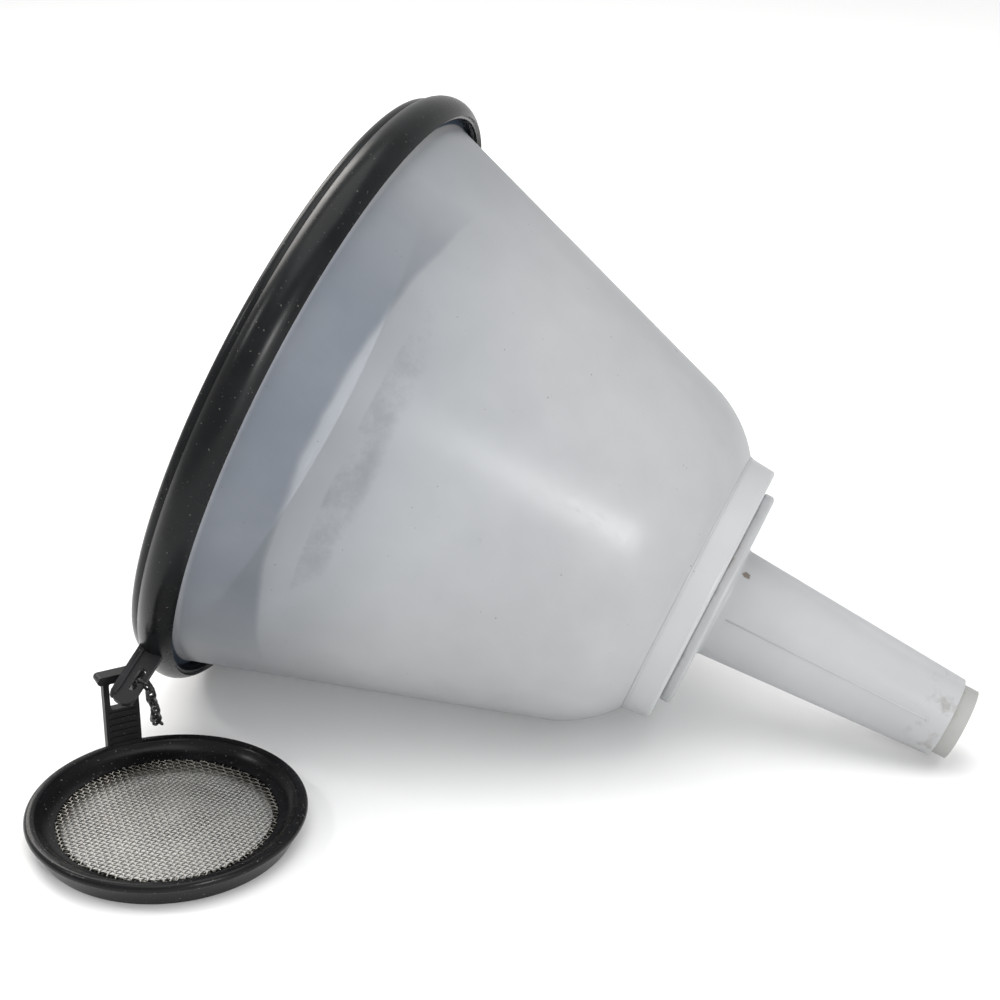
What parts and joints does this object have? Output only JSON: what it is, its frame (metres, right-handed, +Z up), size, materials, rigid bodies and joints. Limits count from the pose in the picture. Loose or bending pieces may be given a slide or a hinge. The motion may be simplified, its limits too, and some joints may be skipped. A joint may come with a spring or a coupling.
{
  "type": "funnel",
  "caption": "Round fuel funnel lying on its side: translucent bell with a black rim ring, tapered spout, and a mesh strainer on a short wire chain.",
  "frame": {"origin": "middle of the whole part's footprint, on the surface it lies on", "axes": "+Z up; +X along the lying funnel from the mouth to the outlet; the strainer lies on the -Y side"},
  "size_m": [0.2536, 0.2503, 0.187],
  "materials": {
    "bell": "satin translucent",
    "spout": "satin translucent",
    "outlet": "satin translucent",
    "rim": "semi-gloss",
    "seal": "matt",
    "strainer_plastic": "semi-gloss",
    "mesh": "woven wire",
    "chain": "dark plated wire"
  },
  "bodies": {
    "funnel": {"funnel_bell": "bell", "rim_ring": "rim", "rim_lug": "rim", "spout_sleeve": "spout", "spout_seal": "seal", "outlet_tube": "outlet"},
    "slot_link": {"slot_link": "chain"},
    "chain_link_01": {"chain_link_01": "chain"},
    "chain_link_02": {"chain_link_02": "chain"},
    "chain_link_03": {"chain_link_03": "chain"},
    "chain_link_04": {"chain_link_04": "chain"},
    "chain_link_05": {"chain_link_05": "chain"},
    "chain_link_06": {"chain_link_06": "chain"},
    "chain_link_07": {"chain_link_07": "chain"},
    "chain_link_08": {"chain_link_08": "chain"},
    "chain_link_09": {"chain_link_09": "chain"},
    "chain_link_10": {"chain_link_10": "chain"},
    "chain_link_11": {"chain_link_11": "chain"},
    "chain_link_12": {"chain_link_12": "chain"},
    "tab_link": {"tab_link": "chain"},
    "strainer": {"strainer_ring": "strainer_plastic", "strainer_mesh": "mesh", "strainer_tab": "strainer_plastic"}
  },
  "joints": [
    {"name": "slot_link_swing", "type": "hinge", "parent": "funnel", "child": "slot_link", "pos_m": [-0.10448, -0.06148, 0.03167], "axis": [-0.2208, -0.7986, -0.5598], "range_deg": [-8, 40]},
    {"name": "chain_link_01_swing", "type": "hinge", "parent": "slot_link", "child": "chain_link_01", "pos_m": [-0.10358, -0.05906, 0.02786], "axis": [0.9557, -0.2918, 0.0393], "range_deg": [-59, 22]},
    {"name": "chain_link_02_swing", "type": "hinge", "parent": "chain_link_01", "child": "chain_link_02", "pos_m": [-0.10327, -0.05846, 0.02474], "axis": [0.2777, 0.9377, 0.209], "range_deg": [-59, 3]},
    {"name": "chain_link_03_swing", "type": "hinge", "parent": "chain_link_02", "child": "chain_link_03", "pos_m": [-0.10328, -0.05776, 0.02161], "axis": [-0.9607, 0.2704, 0.0631], "range_deg": [-27, 45]},
    {"name": "chain_link_04_swing", "type": "hinge", "parent": "chain_link_03", "child": "chain_link_04", "pos_m": [-0.10319, -0.05675, 0.01858], "axis": [-0.2764, -0.9097, -0.3099], "range_deg": [-1, 25]},
    {"name": "chain_link_05_swing", "type": "hinge", "parent": "chain_link_04", "child": "chain_link_05", "pos_m": [-0.10432, -0.05548, 0.01586], "axis": [0.8946, -0.1258, -0.4287], "range_deg": [-25, 24]},
    {"name": "chain_link_06_swing", "type": "hinge", "parent": "chain_link_05", "child": "chain_link_06", "pos_m": [-0.10485, -0.05293, 0.01401], "axis": [0.4149, 0.59, 0.6927], "range_deg": [-59, 1]},
    {"name": "chain_link_07_swing", "type": "hinge", "parent": "chain_link_06", "child": "chain_link_07", "pos_m": [-0.10736, -0.05095, 0.01382], "axis": [-0.4618, -0.5194, 0.719], "range_deg": [-12, 17]},
    {"name": "chain_link_08_swing", "type": "hinge", "parent": "chain_link_07", "child": "chain_link_08", "pos_m": [-0.10829, -0.04822, 0.0152], "axis": [-0.8381, -0.0099, -0.5454], "range_deg": [-5, 14]},
    {"name": "chain_link_09_swing", "type": "hinge", "parent": "chain_link_08", "child": "chain_link_09", "pos_m": [-0.11, -0.04757, 0.01783], "axis": [0.1026, 0.9792, -0.1753], "range_deg": [-19, 4]},
    {"name": "chain_link_10_swing", "type": "hinge", "parent": "chain_link_09", "child": "chain_link_10", "pos_m": [-0.11042, -0.04697, 0.02094], "axis": [0.986, -0.0768, 0.1479], "range_deg": [-15, 34]},
    {"name": "chain_link_11_swing", "type": "hinge", "parent": "chain_link_10", "child": "chain_link_11", "pos_m": [-0.11095, -0.04837, 0.02377], "axis": [-0.0029, -0.8951, -0.4458], "range_deg": [-4, 33]},
    {"name": "chain_link_12_swing", "type": "hinge", "parent": "chain_link_11", "child": "chain_link_12", "pos_m": [-0.11104, -0.0498, 0.02663], "axis": [-0.9996, 0.0149, -0.0236], "range_deg": [-18, 31]},
    {"name": "tab_link_swing", "type": "hinge", "parent": "chain_link_12", "child": "tab_link", "pos_m": [-0.11111, -0.05291, 0.02738], "axis": [-0.0195, 0.2341, 0.972], "range_deg": [-35, 8]},
    {"name": "strainer_turn", "type": "hinge", "parent": "tab_link", "child": "strainer", "pos_m": [-0.11102, -0.05534, 0.02796], "axis": [0, 0, 1], "range_deg": [-41, 14]}
  ]
}
